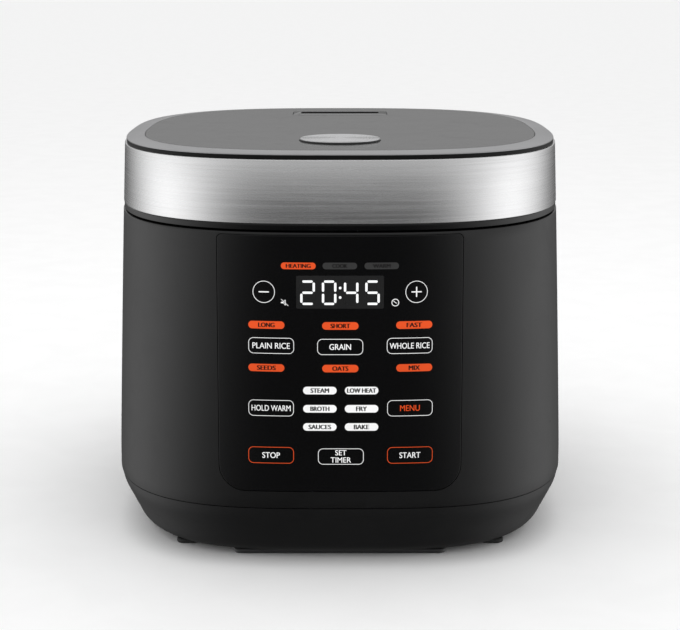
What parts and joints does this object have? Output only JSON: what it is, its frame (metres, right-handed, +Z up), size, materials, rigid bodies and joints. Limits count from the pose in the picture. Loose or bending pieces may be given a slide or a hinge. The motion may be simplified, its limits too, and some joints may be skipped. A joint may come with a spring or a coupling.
{
  "type": "electric multicooker",
  "caption": "Countertop rice and multi cooker with a hinged steel-banded lid, push release, glass touch panel, steam vent, lift-out pot and rear condensate cup.",
  "frame": {"origin": "on the floor under the middle of the whole width and depth", "axes": "+X to the right as seen from the front, +Y to the back where the hinge is, +Z up"},
  "size_m": [0.291, 0.3626, 0.2508],
  "materials": {
    "black_satin": "fine matte painted black plastic",
    "black_gloss": "polished black plastic",
    "black_plastic": "moulded black plastic, fine grain",
    "touch_glass": "glossy black touch glass, printed from behind",
    "lid_gloss": "dark glossy top panel",
    "trim_metal": "satin dark grey metallic trim",
    "steel": "brushed round the lid",
    "button_metal": "spun metal, circular brushing",
    "rubber": "soft black rubber",
    "silicone": "translucent grey silicone",
    "pot_coating": "dark non-stick coating on aluminium",
    "aluminium": "satin aluminium",
    "zinc_steel": "bright zinc-plated steel",
    "chamber_steel": "aluminised steel sheet",
    "smoke_plastic": "smoked clear plastic",
    "circuit_board": "green circuit board",
    "white_plastic": "white moulded plastic",
    "mica": "mica heater band",
    "wire_red": "silicone insulated leads",
    "brass": "plated contact pins"
  },
  "bodies": {
    "base": {"outer_shell": "black_satin", "upper_rim": "black_gloss", "base_tub": "black_satin", "bottom_plate": "black_plastic", "front_foot_bar": "black_plastic", "rubber_feet": "rubber", "base_screws": "zinc_steel", "control_glass": "touch_glass", "panel_carrier": "white_plastic", "display_module": "black_plastic", "touch_board": "circuit_board", "buzzer": "black_plastic", "power_board": "circuit_board", "heating_chamber": "chamber_steel", "side_heater_band": "mica", "heating_plate": "aluminium", "heating_element": "zinc_steel", "plate_stands": "zinc_steel", "thermal_fuse": "white_plastic", "sensor_housing": "black_plastic", "sensor_spring": "zinc_steel", "inner_pot": "pot_coating", "power_inlet": "black_plastic", "inlet_pins": "brass", "wiring_harness": "wire_red", "rear_housing": "black_plastic", "hinge_bracket": "zinc_steel", "hinge_pin": "zinc_steel", "hinge_springs": "zinc_steel", "latch_catch": "zinc_steel"},
    "sensor": {"thermal_sensor": "aluminium"},
    "cup": {"condensate_cup": "smoke_plastic"},
    "lid": {"lid_band": "steel", "lid_frame": "black_gloss", "lid_trim_ring": "trim_metal", "lid_top_panel": "lid_gloss", "lid_lower_rim": "black_gloss", "lid_liner": "black_plastic", "lid_hinge_block": "black_plastic", "lid_screws": "zinc_steel", "lid_sensor": "aluminium", "inner_lid_plate": "aluminium", "pot_gasket": "silicone", "plate_clips": "black_plastic", "steam_duct": "black_plastic", "steam_seal": "silicone", "button_housing": "black_plastic", "button_spring": "zinc_steel", "latch_bracket": "black_plastic", "latch_pin": "zinc_steel", "latch_spring": "zinc_steel"},
    "steam_cap": {"steam_vent_cap": "black_gloss"},
    "button": {"release_button": "button_metal"},
    "latch": {"latch_lever": "black_plastic"}
  },
  "joints": [
    {"name": "lid_hinge", "type": "hinge", "parent": "base", "child": "lid", "pos_m": [0, 0.16415, 0.205], "axis": [-1, 0, 0], "range_deg": [0, 85]},
    {"name": "button_press", "type": "slide", "parent": "lid", "child": "button", "axis": [0, 0, -1], "range_m": [0, 0.0035], "stiffness_N_per_m": 500, "springref_m": -0.002, "deforming": ["button_spring"]},
    {"name": "latch_turn", "type": "hinge", "parent": "lid", "child": "latch", "pos_m": [0, -0.15785, 0.221], "axis": [-1, 0, 0], "range_deg": [0, 4.1], "deforming": ["latch_spring"]},
    {"name": "steam_cap_lift", "type": "slide", "parent": "lid", "child": "steam_cap", "axis": [0, 0, 1], "range_m": [0, 0.03]},
    {"name": "condensate_cup_slide", "type": "slide", "parent": "base", "child": "cup", "axis": [0, 1, 0], "range_m": [0, 0.04]},
    {"name": "sensor_press", "type": "slide", "parent": "base", "child": "sensor", "axis": [0, 0, -1], "range_m": [0, 0.002], "stiffness_N_per_m": 600, "springref_m": -0.002, "deforming": ["sensor_spring"]}
  ],
  "couplings": [
    {"joint": "latch_turn", "follows": "button_press", "rad_per_m": 20}
  ]
}
